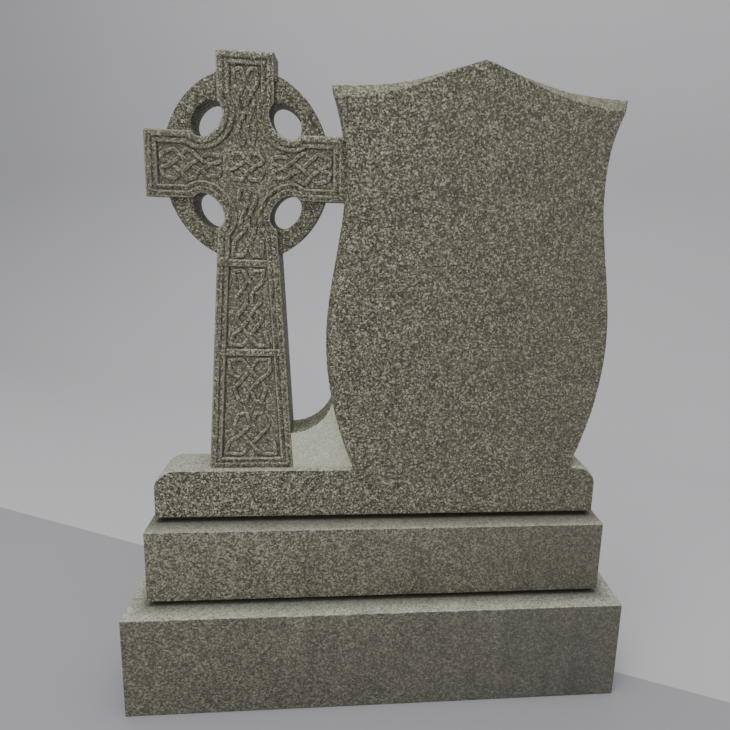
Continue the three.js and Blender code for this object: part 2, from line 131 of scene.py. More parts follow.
def stone_piece(name, vertices, faces, *finish, **options):
    """Puts a closed stone into the scene with its faces turned outward, and the rest as in mesh_piece."""
    outward = -1 if signed_volume(vertices, faces) < 0 else 1
    return mesh_piece(name, vertices, [face[::outward] for face in faces], *finish, **options)


def upward(vertices, faces):
    """How far each face looks up, from -1 to 1: the height of its unit area vector, taken outward."""
    side = np.sign(signed_volume(vertices, faces))
    area = np.array([np.cross(vertices[face], np.roll(vertices[face], -1, 0)).sum(0) for face in faces])
    return side * area[:, 2] / np.linalg.norm(area, axis=1)


def block(size, arris, seed):
    """Sawn block: its rounded plan carried up a profile whose two ends are eased, with chips on the long
    edges."""
    plan, outward = rounded_plan(size["width"], size["depth"], arris)
    easing = eased(arris)
    low = [(inset, size["bottom"] + back) for inset, back in easing[::-1]]
    high = [(inset, size["top"] - back) for inset, back in easing]
    edge_marks = [chips(len(plan), seed + side, BASE_CHIP)[:, None] for side in range(2)]
    levels = [(inset, z, edge_marks[0] * (inset > 0)) for inset, z in low]
    levels += [(inset, z, edge_marks[1] * (inset > 0)) for inset, z in high]
    return skin([columns(*(plan - outward * (inset + chip)).T, z) for inset, z, chip in levels])


def linear(srgb_hex):
    """Linear RGBA of an sRGB hex colour."""
    channels = np.array([int(srgb_hex[place:place + 2], 16) for place in (0, 2, 4)]) / 255
    curve = np.where(channels <= 0.04045, channels / 12.92, ((channels + 0.055) / 1.055) ** 2.4)
    return (*curve, 1.0)


def add_node(tree, kind, inputs=None, **settings):
    """Adds a node. An input is a value, or the output socket that feeds it; settings are its own fields."""
    node = tree.nodes.new("ShaderNode" + kind)
    for field, value in settings.items():
        setattr(node, field, value)
    for socket, value in (inputs or {}).items():
        if isinstance(value, bpy.types.NodeSocket):
            tree.links.new(value, node.inputs[socket])
        else:
            node.inputs[socket].default_value = value
    return node


def blank_material(name):
    """Material with an empty node tree, and the socket that gives the place on the piece in metres."""
    material = bpy.data.materials.new(name)
    material.use_nodes = True
    tree = material.node_tree
    tree.nodes.clear()
    return material, tree, add_node(tree, "TexCoord").outputs["Object"]


def stained(tree, surface, value, colour, bare, full, depth):
    """Stains a surface's colour by a value: not at all where it is at bare, by the whole depth where it is at
    full, and evenly more from one to the other."""
    amount = add_node(tree, "MapRange", {
        "Value": value, "From Min": bare, "From Max": full, "To Max": depth})
    mixed = add_node(tree, "Mix", {
        "Factor": amount.outputs["Result"], 6: surface, 7: linear(colour)}, data_type="RGBA")
    return mixed.outputs[2]


def beyond(tree, place, half_x, half_y):
    """Distance in plan outside an upright rectangle round the origin: the larger of |x| and |y| past it."""
    parts = add_node(tree, "SeparateXYZ", {0: place})
    past = []
    for axis, half in (("X", half_x), ("Y", half_y)):
        size = add_node(tree, "Math", {0: parts.outputs[axis]}, operation="ABSOLUTE")
        past.append(add_node(tree, "Math", {0: size.outputs[0], 1: half / 1000}, operation="SUBTRACT"))
    larger = add_node(tree, "Math", {0: past[0].outputs[0], 1: past[1].outputs[0]}, operation="MAXIMUM")
    return larger.outputs[0]


CRYSTAL_WANDER = 0.6
MICA_FINENESS, MICA_EDGE = 1.7, 0.03
# Painted shade round the foot of a stone that stands on another.
SEAT_SHADE_COLOUR, SEAT_SHADE_DEPTH = "2f2e28", 0.8
PUNCHED_GROUND = {"colour": "74715e", "bare": 0, "full": 1, "depth": 0.22}
# Painted shade in the cuts, and painted highlight with wear on the edges that stand out.
CUT_SHADE = {"colour": "24231d", "bare": -0.05, "full": -0.8, "depth": 0.85}
RIDGE_HIGHLIGHT_AND_WEAR = {"colour": "c9c8b8", "bare": 0.1, "full": 1, "depth": 0.5}
CLOUD_LOW, CLOUD_HIGH = 0.3, 0.7
ROUGHNESS_SPREAD = 0.08
PIT_FINENESS, CRYSTAL_RELIEF = 2.2, -0.6
GRANITE_IOR = 1.54


def granite(name, minerals, mica, grain, roughness, pit, cloud, side_tone_and_shade=None, seat=None, carved=False):
    """Granite with a given surface. Each cell of a warped Voronoi net is one crystal, grain millimetres wide,
    and its random number picks a mineral from the ramp; a finer net strews dark mica; broad noise makes
    clouds. Crystals and pits shape the bump, pit millimetres deep. A tone laid thicker towards one side evens
    out the crystals; on the cross it is painted shade. Painted shade darkens the stone round a seat, where
    another stone stands on this one. On carved stone the raised edges get painted highlight and wear, the
    cuts painted shade, and the sunk ground is evened out by the punch."""
    material, tree, place = blank_material(name)
    per_metre = 1000 / grain
    wander = add_node(tree, "TexNoise", {"Vector": place, "Scale": per_metre, "Detail": 2.0})
    warped = add_node(tree, "VectorMath", {
        0: wander.outputs["Color"], 1: (grain * CRYSTAL_WANDER / 1000,) * 3, 2: place},
        operation="MULTIPLY_ADD")
    crystal = add_node(tree, "TexVoronoi", {"Vector": warped.outputs[0], "Scale": per_metre})
    pick = add_node(tree, "SeparateColor", {"Color": crystal.outputs["Color"]})
    ramp = add_node(tree, "ValToRGB", {"Fac": pick.outputs["Red"]})
    while len(ramp.color_ramp.elements) < len(minerals):
        ramp.color_ramp.elements.new(0.5)
    for element, (share, colour) in zip(ramp.color_ramp.elements, minerals):
        element.position = share
        element.color = linear(colour)
    flake = add_node(tree, "TexVoronoi", {"Vector": warped.outputs[0], "Scale": per_metre * MICA_FINENESS})
    flake_pick = add_node(tree, "SeparateColor", {"Color": flake.outputs["Color"]})
    colour = stained(tree, ramp.outputs["Color"], flake_pick.outputs["Green"], mica["colour"],
                     1 - mica["share"] - MICA_EDGE, 1 - mica["share"] + MICA_EDGE, mica["depth"])
    # A tone towards one side that greys and evens the crystals; on the cross it is painted shade on the left
    # arm.
    if side_tone_and_shade:
        across = add_node(tree, "SeparateXYZ", {0: place}).outputs["X"]
        colour = stained(
            tree, colour, across, side_tone_and_shade["colour"], side_tone_and_shade["from"] / 1000, side_tone_and_shade["to"] / 1000, side_tone_and_shade["depth"])
    if carved:
        # Painted shade where the stone is sunk and painted highlight where it stands out, from the carving's
        # attribute.
        for layer, stain in (("ground", PUNCHED_GROUND), ("ridge", CUT_SHADE), ("ridge", RIDGE_HIGHLIGHT_AND_WEAR)):
            value = add_node(tree, "Attribute", attribute_name=layer).outputs["Fac"]
            colour = stained(tree, colour, value, **stain)
    # Painted shade: darker towards the place where another stone stands on this one.
    if seat:
        near = beyond(tree, place, seat["half_x"], seat["half_y"])
        colour = stained(tree, colour, near, SEAT_SHADE_COLOUR, seat["reach"] / 1000, 0, SEAT_SHADE_DEPTH)
    broad = add_node(tree, "TexNoise", {
        "Vector": place, "Scale": 1000 / cloud["width"], "Detail": 3.0, "Roughness": 0.6})
    shade = add_node(tree, "MapRange", {
        "Value": broad.outputs["Fac"], "From Min": CLOUD_LOW, "From Max": CLOUD_HIGH,
        "To Min": 1 - cloud["depth"], "To Max": 1 + cloud["depth"]})
    clouded = add_node(tree, "VectorMath", {0: colour, "Scale": shade.outputs["Result"]}, operation="SCALE")
    sheen = add_node(tree, "MapRange", {
        "Value": pick.outputs["Green"], "To Min": roughness - ROUGHNESS_SPREAD,
        "To Max": roughness + ROUGHNESS_SPREAD})
    pits = add_node(tree, "TexNoise", {
        "Vector": place, "Scale": PIT_FINENESS * per_metre, "Detail": 3.0, "Roughness": 0.65})
    height = add_node(tree, "Math", {
        0: crystal.outputs["Distance"], 1: CRYSTAL_RELIEF, 2: pits.outputs["Fac"]},
        operation="MULTIPLY_ADD")
    bump = add_node(tree, "Bump", {
        "Height": height.outputs[0], "Distance": pit / 1000, "Strength": 1.0})
    shader = add_node(tree, "BsdfPrincipled", {
        "Base Color": clouded.outputs[0], "Roughness": sheen.outputs["Result"],
        "Normal": bump.outputs["Normal"], "IOR": GRANITE_IOR})
    add_node(tree, "OutputMaterial", {"Surface": shader.outputs["BSDF"]})
    return material


# Rubbed granite with pale feldspar and grey quartz, greyer and more even to the right. Its top has a paler
# finish and is painted paler still as light from above, with painted shade where the stone above stands on
# it.
LOWER_MINERALS = [(0.0, "434239"), (0.3, "5b594d"), (0.7, "727061"), (1.0, "92907a")]
TOP_LIT_MINERALS = [(0.0, "7f7e6f"), (0.3, "999888"), (1.0, "bbbaa9")]
TOP_LIT_MICA, TOP_LIT_CLOUD = {"share": 0.08, "depth": 0.5, "colour": "57564c"}, {"width": 90, "depth": 0.08}
BASE_GRAIN = 3.8
FACES_UP = 0.35
lower_granite = granite(
    "rubbed_granite_lower", LOWER_MINERALS, {"share": 0.1, "depth": 0.7, "colour": "2f2e26"},
    BASE_GRAIN, roughness=0.62, pit=0.15, cloud={"width": 140, "depth": 0.08},
    side_tone_and_shade={"from": -400, "to": 500, "depth": 0.5, "colour": "5f5e56"})
lower_top_lit = granite(
    "paler_top_lit_granite_lower", TOP_LIT_MINERALS, TOP_LIT_MICA, BASE_GRAIN, roughness=0.75, pit=0.2,
    cloud=TOP_LIT_CLOUD, seat={"half_x": 556, "half_y": 86, "reach": 42})


def base_piece(name, size, rubbed, top_lit, seed):
    """Block of a base, rubbed all round, with a paler finish and painted light from above where its faces
    look up.
    """
    mesh = block(size, BASE_ARRIS, seed)
    return stone_piece(name, *mesh, [rubbed, top_lit], (upward(*mesh) > FACES_UP).astype(int))


lower_base = base_piece("lower_base_block", LOWER_BASE, lower_granite, lower_top_lit, seed=11)
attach(lower_base, "root")
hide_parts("lower_base")

# Upper base.
# A second sawn block of the same granite, smaller all round, with rubbed faces and eased arrises. It is
# set on the lower one in a bed of dark compound that stays back from its faces.
UPPER_BASE = {"width": 1124, "depth": 184, "bottom": 272, "top": 456}
UPPER_BED = {"width": 1100, "depth": 160, "bottom": 259, "top": 274}
BED_ARRIS = 1.5

# Rubbed like the lower block, a little browner and with more contrast between its crystals, greyer and more
# even to the right. Its top has a paler finish, painted paler still as light from above, with painted shade
# round the foot of the slab.
UPPER_MINERALS = [(0.0, "434238"), (0.25, "5d5a4d"), (0.6, "7a7765"), (1.0, "a8a58f")]
upper_granite = granite(
    "rubbed_granite_upper", UPPER_MINERALS, {"share": 0.14, "depth": 0.8, "colour": "2a2920"},
    BASE_GRAIN, roughness=0.6, pit=0.15, cloud={"width": 160, "depth": 0.07},
    side_tone_and_shade={"from": -250, "to": 450, "depth": 0.5, "colour": "5d5c52"})
upper_top_lit = granite(
    "paler_top_lit_granite_upper", TOP_LIT_MINERALS, TOP_LIT_MICA, BASE_GRAIN, roughness=0.75, pit=0.2,
    cloud=TOP_LIT_CLOUD, seat={"half_x": 541, "half_y": 46, "reach": 60})
upper_base = base_piece("upper_base_block", UPPER_BASE, upper_granite, upper_top_lit, seed=23)
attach(upper_base, "root")
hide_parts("upper_base")

# Setting beds.
# Dark setting compound squeezed between the stones, struck back by a finger's breadth. It is matt and
# slightly uneven, and made near-black as painted shade for the shadow in the joint, so that each joint reads
# as a black line.
FOOT_BED = {"width": 1070, "depth": 76, "bottom": 455, "top": 471}
# Both near-black colours also paint the shadow in the joint.
COMPOUND_SHADE_COLOUR, DIRT_SHADE_COLOUR = "151512", "2f2e29"
DIRT_WIDTH, DIRT_RELIEF = 12, 0.6


def setting_compound():
    """Dark rubbery compound: two near-black greys, which also paint the joint's shadow, mixed by noise the
    size of dirt spots, matt.
    """
    material, tree, place = blank_material("setting_compound_painted_shade")
    dirt = add_node(tree, "TexNoise", {"Vector": place, "Scale": 1000 / DIRT_WIDTH, "Detail": 4.0})
    tone = add_node(tree, "Mix", {
        "Factor": dirt.outputs["Fac"], 6: linear(COMPOUND_SHADE_COLOUR), 7: linear(DIRT_SHADE_COLOUR)}, data_type="RGBA")
    bump = add_node(tree, "Bump", {"Height": dirt.outputs["Fac"], "Distance": DIRT_RELIEF / 1000})
    shader = add_node(tree, "BsdfPrincipled", {
        "Base Color": tone.outputs[2], "Roughness": 0.9, "Normal": bump.outputs["Normal"]})
    add_node(tree, "OutputMaterial", {"Surface": shader.outputs["BSDF"]})
    return material


compound = setting_compound()
for bed_name, bed_size, seed in (("upper_setting_bed", UPPER_BED, 31), ("foot_setting_bed", FOOT_BED, 37)):
    bed = stone_piece(bed_name, *block(bed_size, BED_ARRIS, seed), [compound])
    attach(bed, "root")

# Foot band and tablet.
# Both are cut from the front half of the slab: a low band with rounded upper corners, and over its right part
# a shield with swelling sides, a waist, and ears that rise to a peak in an ogee. The face is honed and dark;
# the sawn rim and the bevel that widens towards the ears are rubbed, and paler where they look up, partly as
# painted light from above.
SLAB_FRONT, SLAB_BACK = -50, 50
FOOT_TOP = 592
FOOT_BOTTOM = 468
FOOT_HALF_WIDTH = 547
FOOT_CORNER = 52
TABLET_X = 203
TABLET_FOOT_HALF = 277
BELLY_HEIGHT, BELLY_HALF = 323, 344
WAIST_HEIGHT, WAIST_HALF = 693, 303
EAR_HEIGHT, EAR_HALF = 888, 336
PEAK_HEIGHT = 953
HOLLOW_HALF, HOLLOW_RISE = 140, 2
BROW_HALF, BROW_DROP = 100, 19
BEVEL_DEPTH = 15
SIDE_BEVEL, EAR_BEVEL, EAR_BEVEL_TURN = 8, 30, 8
RIM_ARRIS, RIM_ARRIS_BEND = 2, 0.3
SIDE_STEP = 4
TOP_STEPS, CORNER_STEPS, FOOT_SIDE_STEPS = 128, 12, 11
HEWN_OUTER, HEWN_INNER, HEWN_SEED = 0.9, 1.6, 41


def tablet_half_width(height):
    """Half width of the tablet at a height above the foot: a parabola up to the belly, an S from the belly
    to the waist, and a parabola that flares from the waist to the ear."""
    low = np.clip((BELLY_HEIGHT - height) / BELLY_HEIGHT, 0, None)
    middle = np.clip((height - BELLY_HEIGHT) / (WAIST_HEIGHT - BELLY_HEIGHT), 0, 1)
    high = np.clip((height - WAIST_HEIGHT) / (EAR_HEIGHT - WAIST_HEIGHT), 0, None)
    return (BELLY_HALF - (BELLY_HALF - TABLET_FOOT_HALF) * low ** 2
            + (WAIST_HALF - BELLY_HALF) * middle ** 2 * (3 - 2 * middle)
            + (EAR_HALF - WAIST_HALF) * high ** 2)


def bezier(points, share):
    """Cubic Bezier curve through four control points at the given shares of its parameter."""
    a, b, c, d = (np.asarray(point, float) for point in points)
    t = np.asarray(share)[:, None]
    return a * (1 - t) ** 3 + 3 * b * t * (1 - t) ** 2 + 3 * c * t ** 2 * (1 - t) + d * t ** 3


def slab_rim():
    """Rim of the foot band and the tablet as columns x, z, the face's shift in x and in z, and how deep the
    bevel or arris reaches back: foot bottom, right corner, tablet side, ogee top, and the same mirrored."""
    ease = BASE_ARRIS
    bend = np.linspace(0, np.pi / 2, CORNER_STEPS + 1)
    corner = FOOT_HALF_WIDTH - FOOT_CORNER, FOOT_TOP - FOOT_CORNER
    foot_side = np.linspace(FOOT_BOTTOM + SIDE_STEP, corner[1] - SIDE_STEP, FOOT_SIDE_STEPS + 1)
    height = np.linspace(0, EAR_HEIGHT, EAR_HEIGHT // SIDE_STEP + 1)[1:]
    side = columns(tablet_half_width(height), height, -SIDE_BEVEL,
                   -EAR_BEVEL * (height / EAR_HEIGHT) ** EAR_BEVEL_TURN, BEVEL_DEPTH)
    top = bezier([(EAR_HALF, EAR_HEIGHT), (HOLLOW_HALF, EAR_HEIGHT + HOLLOW_RISE),
                  (BROW_HALF, PEAK_HEIGHT - BROW_DROP), (0, PEAK_HEIGHT)],
                 np.linspace(0, 1, TOP_STEPS + 1)[1:])
    share = top[:, 0] / EAR_HALF
    shield = np.concatenate([
        side, columns(*top.T, -SIDE_BEVEL * share, -EAR_BEVEL * share, BEVEL_DEPTH)])

    def half(mirror):
        """One half from the middle of the foot's bottom to the peak, with x measured outward."""
        centre = mirror * TABLET_X
        spoke = np.column_stack([np.cos(bend), np.sin(bend)])
        flat = np.arange(corner[0] - SIDE_STEP, centre + TABLET_FOOT_HALF + SIDE_STEP, -SIDE_STEP)
        return np.concatenate([
            columns(FOOT_HALF_WIDTH, foot_side, -ease, 0, ease),
            columns(*(corner + FOOT_CORNER * spoke).T, *(-ease * spoke).T, ease),
            columns(flat, FOOT_TOP, 0, -ease, ease),
            [(centre + TABLET_FOOT_HALF, FOOT_TOP, 0, 0, ease)],
            shield + (centre, FOOT_TOP, 0, 0, 0)])

    right, left = half(1), half(-1)[:-1][::-1]
    left[:, [0, 2]] *= -1
    bottom = np.array([
        [-FOOT_HALF_WIDTH, FOOT_BOTTOM, ease, ease, ease], [FOOT_HALF_WIDTH, FOOT_BOTTOM, -ease, ease, ease]])
    return np.concatenate([bottom, right, left])


def slab_rings():
    """Rings from the back to the front: an eased back arris, the sawn rim, then the bevel with its edges
    eased. Both edges of the bevel waver, as the hammer left them: random numbers held within 2 shift them
    across the bevel."""
    x, z, shift_x, shift_z, depth = slab_rim().T
    length = np.hypot(shift_x, shift_z)
    noise = np.random.default_rng(HEWN_SEED).normal(size=(2, len(x)))
    hewn = (depth == BEVEL_DEPTH) / np.maximum(length, 1)
    outer = HEWN_OUTER * np.clip(noise[0], 0, 2) * hewn
    inner = HEWN_INNER * np.clip(noise[1], -2, 2) * hewn * np.clip(length / EAR_BEVEL, 0, 1)
    small = np.where(length > 0, RIM_ARRIS / np.maximum(length, RIM_ARRIS), 0)
    blend = RIM_ARRIS / depth / 2
    levels = [(small * inset / RIM_ARRIS, SLAB_BACK - back) for inset, back in eased(RIM_ARRIS)[::-1]]
    levels += [(0, SLAB_FRONT + depth * (1 + blend))]
    levels += [(blend * share, SLAB_FRONT + depth * (1 - blend * share)) for share in (RIM_ARRIS_BEND, 1)]
    levels += [(1 - blend * share, SLAB_FRONT + depth * blend * share) for share in (1, RIM_ARRIS_BEND)]
    levels += [(1, SLAB_FRONT)]
    rings = []
    for share, y in levels:
        move = share + outer * (1 - share) + inner * share
        rings.append(columns(x + shift_x * move, y, z + shift_z * move))
    return rings


# The honed face is flat, with a faint sheen, and its open crystals read as sharp, dark pepper and salt. Where
# the bevel and the rim look up they are rubbed dull and paler, and painted paler still as light from above;
# the foot's flat top has a paler finish with the same painted top light. The right side is greyer and more
# even.
HEAD_MINERALS = [(0.0, "2f2e24"), (0.2, "4b493b"), (0.48, "706d5b"), (0.78, "97947e"), (1.0, "cfccb3")]
HEAD_GRAIN = 3.5
HEAD_FILM = {"from": -180, "to": 560, "depth": 0.48, "colour": "625f51"}
honed_face = granite(
    "honed_granite_face", HEAD_MINERALS, {"share": 0.22, "depth": 0.92, "colour": "1b1a14"},
    HEAD_GRAIN, roughness=0.55, pit=0.12, cloud={"width": 90, "depth": 0.06}, side_tone_and_shade=HEAD_FILM)
RUBBED_TOP_LIT_MINERALS = [(0.0, "37352a"), (0.22, "5f5c4b"), (0.5, "7b7866"), (1.0, "a6a38c")]
rubbed_top_lit_rim = granite(
    "rubbed_top_lit_granite_rim", RUBBED_TOP_LIT_MINERALS, {"share": 0.16, "depth": 0.85, "colour": "2e2d25"},
    HEAD_GRAIN, roughness=0.78, pit=0.3, cloud={"width": 70, "depth": 0.06},
    side_tone_and_shade=HEAD_FILM | {"colour": "7b7963"})
foot_top_lit = granite(
    "paler_top_lit_granite_foot", TOP_LIT_MINERALS, {"share": 0.1, "depth": 0.6, "colour": "4b4a3e"},
    HEAD_GRAIN, roughness=0.78, pit=0.25, cloud={"width": 70, "depth": 0.06})
slab_mesh = skin(slab_rings())
looks_up = upward(*slab_mesh)
is_foot = np.array([slab_mesh[0][face][:, 2].max() < FOOT_TOP + SIDE_STEP / 2 for face in slab_mesh[1]])
# Faces that look up get the paler materials: a paler finish with painted light from above.
slab_index = np.where(looks_up > FACES_UP, np.where(is_foot, 2, 1), 0)
last_face = len(slab_mesh[1]) - 1
slab = stone_piece("foot_and_tablet", *slab_mesh, [honed_face, rubbed_top_lit_rim, foot_top_lit], slab_index,
                   flat_faces=(last_face, last_face - 1))
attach(slab, "root")
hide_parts("headstone")

# Ring.
# A plain oval band cut behind the arms of the cross and set back from them. It is sawn with eased arrises
# and rubbed; its four holes are leaning ovals cut right through the slab, which also round the armpits.
CROSS_X, CROSS_Z = -317, 1300
RING_FRONT, RING_BACK = -28, 49.5
RING_HALF_WIDTH, RING_HALF_HEIGHT = 182, 209
HOLE_OUT, HOLE_UP = 84.5, 98
HOLE_SHORT, HOLE_LONG = 28.5, 42
HOLE_LEAN = np.radians(37)
RING_ARRIS = 3.5
RING_STEPS = 288


def hole_form(inset):
    """The oval of a hole grown by an inset, as the numbers of its equation
    A out^2 + 2 B out up + C up^2 = 1, measured from the hole's centre."""
    cos, sin = np.cos(HOLE_LEAN), np.sin(HOLE_LEAN)
    short, long = 1 / (HOLE_SHORT + inset) ** 2, 1 / (HOLE_LONG + inset) ** 2
    return (cos ** 2 * short + sin ** 2 * long, cos * sin * (short - long),
            sin ** 2 * short + cos ** 2 * long)


def past_hole(direction, inset):
    """Distance from the cross's centre at which a ray leaves the hole's oval: the larger root of a quadratic,
    and the middle of its two roots where the ray misses, which lies hidden in the cross."""
    out, up = np.abs(direction)
    a, b, c = hole_form(inset)
    square = a * out ** 2 + 2 * b * out * up + c * up ** 2
    middle = a * out * HOLE_OUT + b * (out * HOLE_UP + up * HOLE_OUT) + c * up * HOLE_UP
    rest = a * HOLE_OUT ** 2 + 2 * b * HOLE_OUT * HOLE_UP + c * HOLE_UP ** 2 - 1
    return (middle + np.sqrt(np.clip(middle ** 2 - square * rest, 0, None))) / square


def ring_mesh():
    """Rounded rectangle carried round the oval: each point of the section lies on a ray from the centre, set
    in from the outer edge or out from the holes, at a depth, and the loop closes on itself."""
    easing = eased(RING_ARRIS)
    angle = np.linspace(0, 2 * np.pi, RING_STEPS, endpoint=False)
    direction = np.stack([np.cos(angle), np.sin(angle)])

    def outer(inset):
        """Distance to the outer oval set in by an inset."""
        half = np.array([RING_HALF_WIDTH - inset, RING_HALF_HEIGHT - inset])
        return 1 / np.hypot(*(direction / half[:, None]))

    section = [(outer(inset), RING_FRONT + back) for inset, back in easing]
    section += [(past_hole(direction, inset), RING_FRONT + back) for inset, back in easing[::-1]]
    section += [(past_hole(direction, inset), RING_BACK - back) for inset, back in easing]
    section += [(outer(inset), RING_BACK - back) for inset, back in easing[::-1]]
    reach = np.stack([distance for distance, depth in section], 1)
    y = np.broadcast_to([depth for distance, depth in section], reach.shape)
    x, z = CROSS_X + reach * direction[0][:, None], CROSS_Z + reach * direction[1][:, None]
    vertices = np.stack([x, y, z], -1).reshape(-1, 3)
    index = np.arange(len(vertices)).reshape(RING_STEPS, -1)
    after, beside = np.roll(index, -1, 0), np.roll(index, -1, 1)
    faces = np.stack([index, beside, np.roll(after, -1, 1), after], -1).reshape(-1, 4)
    return vertices, faces.tolist()


# The ring and the web's edge are sawn and rubbed dull: the same granite, which reads fine and even, and a
# little darker than the carved face in front of it.
SAWN_MINERALS = [(0.0, "302f25"), (0.22, "474539"), (0.5, "64614e"), (0.78, "86836d"), (1.0, "bcb9a0")]
CARVED_MINERALS = [(0.0, "34332a"), (0.22, "4d4b3f"), (0.5, "6c6956"), (0.78, "918e77"), (1.0, "cac7ae")]
CARVED_GRAIN = 2.9
sawn_granite = granite(
    "fine_sawn_granite", SAWN_MINERALS, {"share": 0.2, "depth": 0.9, "colour": "1c1a14"},
    CARVED_GRAIN, roughness=0.68, pit=0.25, cloud={"width": 60, "depth": 0.1})
ring = stone_piece("cross_ring", *ring_mesh(), [sawn_granite])
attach(ring, "root")

# Web.
# A thin wall left standing between the shaft and the tablet, set back from both faces. Its upper edge sweeps
# from the shaft up to the tablet, and its face is blasted, so it is pale and even with few dark specks.
WEB_FRONT, WEB_BACK = -36, 49.5
WEB_LOW, WEB_HIGH = 90, 193
WEB_ARRIS = 2.5
WEB_OVERLAP = 14
WEB_STEPS = 48
SHAFT_NECK_HALF, SHAFT_FOOT_HALF = 66, 99
CROSS_HEIGHT = CROSS_Z - FOOT_TOP
CROSS_ARRIS = 3.5


def shaft_half_width(height):
    """Half width of the shaft at a height above the foot: a straight taper from the foot to the neck."""
    neck_height = CROSS_HEIGHT - HOLE_UP - HOLE_LONG
    return SHAFT_FOOT_HALF + (SHAFT_NECK_HALF - SHAFT_FOOT_HALF) * height / neck_height


def web_outline(inset):
    """Corners of the web and the quarter oval of its upper edge, seen from the front."""
    left = CROSS_X + shaft_half_width(WEB_LOW) - CROSS_ARRIS
    right = TABLET_X - tablet_half_width(np.array([WEB_HIGH]))[0] + SIDE_BEVEL
    angle = np.linspace(0, -np.pi / 2, WEB_STEPS + 1)
    curve = np.column_stack([
        left + (right - left + inset) * np.cos(angle),
        FOOT_TOP + WEB_HIGH + (WEB_HIGH - WEB_LOW + inset) * np.sin(angle)])
    sink = FOOT_TOP - WEB_OVERLAP / 2
    return np.concatenate([
        [(left - WEB_OVERLAP, sink), (TABLET_X - TABLET_FOOT_HALF + WEB_OVERLAP, sink),
         (right + WEB_OVERLAP, FOOT_TOP + WEB_HIGH)],
        curve, [(left - WEB_OVERLAP, FOOT_TOP + WEB_LOW - inset)]])


def outline_ring(outline, y):
    """Ring of an outline in the X-Z plane at one depth."""
    return columns(outline[:, 0], y, outline[:, 1])


web_rings = [outline_ring(web_outline(inset), WEB_BACK - back) for inset, back in eased(WEB_ARRIS)[::-1]]
web_rings += [outline_ring(web_outline(inset), WEB_FRONT + back) for inset, back in eased(WEB_ARRIS)]

# Blasting breaks up every crystal on the surface, so the web is matt, nearly white and almost without specks.
BLASTED_MINERALS = [(0.0, "b9bca6"), (0.5, "cccfb9"), (1.0, "dde0ca")]
BLASTED_GRAIN = 2.8
blasted_web = granite(
    "blasted_granite_web", BLASTED_MINERALS, {"share": 0.05, "depth": 0.45, "colour": "75766a"},
    BLASTED_GRAIN, roughness=0.9, pit=0.3, cloud={"width": 50, "depth": 0.05})
web_vertices, web_faces = skin(web_rings)
web_index = np.zeros(len(web_faces), int)
web_index[-1] = 1
web = stone_piece("web", web_vertices, web_faces, [sawn_granite, blasted_web], web_index,
                  flat_faces=(len(web_faces) - 1, len(web_faces) - 2))
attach(web, "root")

# Cross.
# Cut proud of the ring and a little back from the tablet's face, with a shaft that widens to the foot and
# rounded armpits. Its face is carved by hand: an incised line, a plain band, then a sunk field with woven
# strands that pass over and under each other, and two bars across the shaft.
CROSS_FRONT, CROSS_BACK = -42, 49.8
HEAD_HALF, HEAD_REACH = 61, 238
ARM_HALF, ARM_REACH = 71.5, 217
CROSS_SINK = 6
ARM_RUN_IN = 8
COLUMN_CELLS, SHAFT_CELLS, CENTRE_CELLS, HEAD_CELLS, ARM_CELLS = 104, 400, 96, 112, 100
ROLL_DEPTH = 5
LINE_MIDDLE, LINE_HALF_WIDTH, LINE_DEPTH = 17, 4.2, 4
BAND_MIDDLE, BAND_HALF_WIDTH, BAND_CROWN = 24.5, 3.6, 1.6
FIELD_INSET, FIELD_SLOPE, FIELD_DEPTH = 28, 1.8, 6
BAR_HALF_HEIGHT, BAR_SLOPE, BAR_DEPTH = 9, 2, 0.8
UPPER_BAR_DROP, LOWER_BAR_DROP = 212, 420
STRAND_HALF_WIDTH, STRAND_GAP = 4.8, 2.5
STRAND_CLEARANCE = STRAND_HALF_WIDTH + STRAND_GAP
STRAND_SHOULDER, STRAND_FOOT, STRAND_MARGIN = 0.7, 1.15, 1.5
OVER_DEPTH, UNDER_DEPTH, STRAND_CROWN = 0.8, 3.2, 0.9
KNOT_CLEARANCE = 8
BOSS_HALF_WIDTH, BOSS_HALF_HEIGHT = 42, 33
STRAND_BEND, STRAND_LAP, BREAK_OFFSET, CORNER_REACH = 0.5, 0.06, 0.4, 0.85
ARM_SWELL, BOSS_SWELL = (0.62, 1, 0.58), (0.72, 1, 0.72)
HEAD_SWELL, SHAFT_SWELL, FOOT_SWELL = (0.95, 0.9, 0.6), (1, 0.64, 1), (1, 0.8, 0.5)
FOOT_KNOT_GAP = 30
KNOT_WIDTH = 4
CURVE_POINTS = 10
BLUR_CELLS = 2
NEWTON_STEPS, LEAST_SLOPE = 6, 1e-9
RIDGE_SCALE, GROUND_FADE = 2.2, 2
# The rim's painted highlight, and the painted shade on the open walls and, darker, on the hole walls.
RIM_HIGHLIGHT, OPEN_WALL_SHADE, HOLE_WALL_SHADE, HOLE_WALL_END = 0.5, -0.2, -0.7, 0.92


def beside_hole(past, inset, of_arm):
    """Distance from the centre line of the upright, or of an arm, to the near side of a hole's oval, at a
    distance past the hole's centre: the smaller root of its equation, or infinity where it is missed."""
    a, mixed, c = hole_form(inset)
    across, along, centre = (c, a, HOLE_UP) if of_arm else (a, c, HOLE_OUT)
    root = across - (across * along - mixed ** 2) * past ** 2
    near = centre - (mixed * past + np.sqrt(np.clip(root, 0, None))) / across
    return np.where(root > 0, near, np.inf)


def hole_corner(inset):
    """Point of a hole's oval that lies deepest in the armpit, where the ways out and up add up least."""
    a, b, c = hole_form(inset)
    scale = np.sqrt((a * c - b ** 2) * (a + c - 2 * b))
    return HOLE_OUT - (c - b) / scale, HOLE_UP - (a - b) / scale


